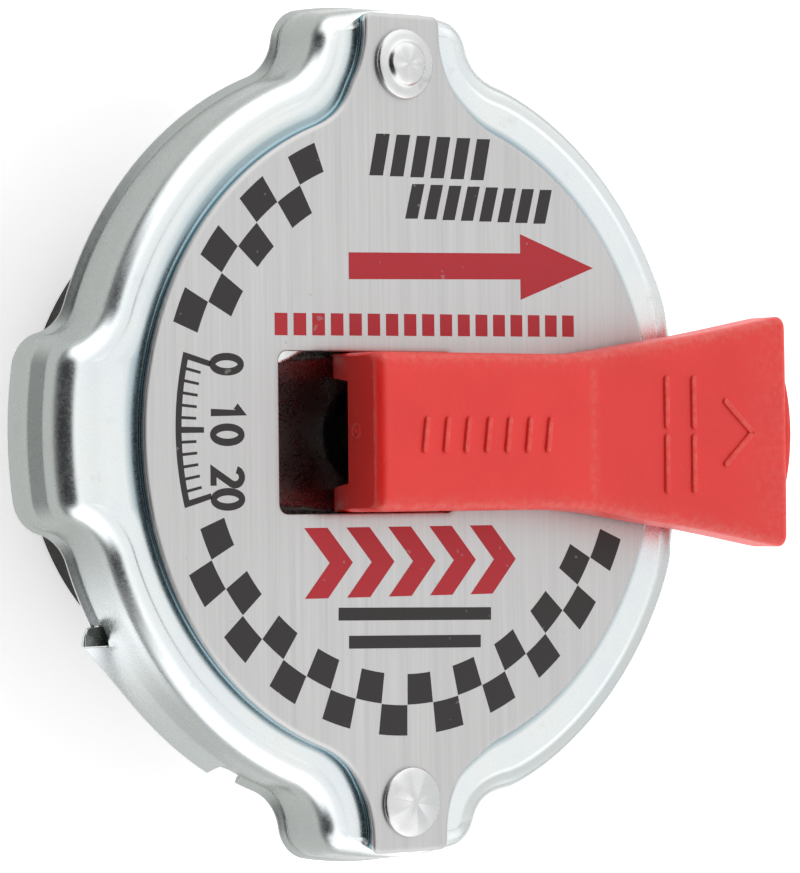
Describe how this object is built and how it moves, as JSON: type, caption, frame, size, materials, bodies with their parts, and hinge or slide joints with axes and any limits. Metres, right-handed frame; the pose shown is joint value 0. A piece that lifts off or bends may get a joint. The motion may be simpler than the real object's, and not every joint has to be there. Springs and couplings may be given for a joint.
{
  "type": "radiator cap",
  "caption": "Radiator cap with grip ears, a brushed face plate and a hinged vent lever that lifts a spring-loaded pressure valve; seals and a vacuum valve sit below.",
  "frame": {"origin": "on the cap's axis, in the plane of the lower gasket's sealing face", "axes": "+Z along the cap's axis towards the face plate, +X along the closed lever towards its free end, +Y towards the upper rivet"},
  "size_m": [0.0766, 0.075, 0.0335],
  "materials": {
    "zinc_steel": "bright zinc plate, glossy with a cool tint",
    "brushed_plate": "straight brushed grain",
    "rivet_aluminium": "bright, with staking marks",
    "red_plastic": "fine moulded texture",
    "turned_steel": "turned",
    "black_rubber": "matte",
    "brass": "satin",
    "black_steel": "black oxide",
    "spring_steel": "drawn wire and rolled strip",
    "yellow_zinc": "yellow passivated zinc"
  },
  "bodies": {
    "cover": {"cover_shell": "zinc_steel", "name_plate": "brushed_plate", "plate_rivet_upper": "rivet_aluminium", "plate_rivet_lower": "rivet_aluminium", "diaphragm": "spring_steel", "upper_gasket": "black_rubber", "spring_bell": "yellow_zinc", "centre_eyelet": "black_steel", "stem_seal": "black_rubber", "pressure_spring": "spring_steel"},
    "stem": {"lift_stem": "turned_steel", "pivot_pin": "turned_steel", "spring_washer": "turned_steel", "retaining_ring": "spring_steel", "vacuum_spring": "spring_steel"},
    "lever": {"lever": "red_plastic"},
    "valve": {"valve_plate": "zinc_steel", "valve_cup": "zinc_steel", "lower_gasket": "black_rubber"},
    "vacuum_valve": {"vacuum_disc": "brass", "vacuum_seal": "black_rubber"}
  },
  "joints": [
    {"name": "stem_lift", "type": "slide", "parent": "cover", "child": "stem", "axis": [0, 0, 1], "range_m": [0, 0.00315], "stiffness_N_per_m": 120, "springref_m": -0.0085, "deforming": ["pressure_spring"]},
    {"name": "lever_swing", "type": "hinge", "parent": "stem", "child": "lever", "pos_m": [0, 0, 0.0255], "axis": [0, -1, 0], "range_deg": [0, 90]},
    {"name": "relief_lift", "type": "slide", "parent": "stem", "child": "valve", "axis": [0, 0, 1], "range_m": [0, 0.0015], "stiffness_N_per_m": 120, "springref_m": -0.0085, "deforming": ["pressure_spring", "vacuum_spring"]},
    {"name": "vacuum_open", "type": "slide", "parent": "valve", "child": "vacuum_valve", "axis": [0, 0, -1], "range_m": [0, 0.0014], "stiffness_N_per_m": 12, "springref_m": -0.004, "deforming": ["vacuum_spring"]}
  ],
  "couplings": [
    {"joint": "lever_swing", "follows": "stem_lift", "rad_per_m": 498.66}
  ]
}
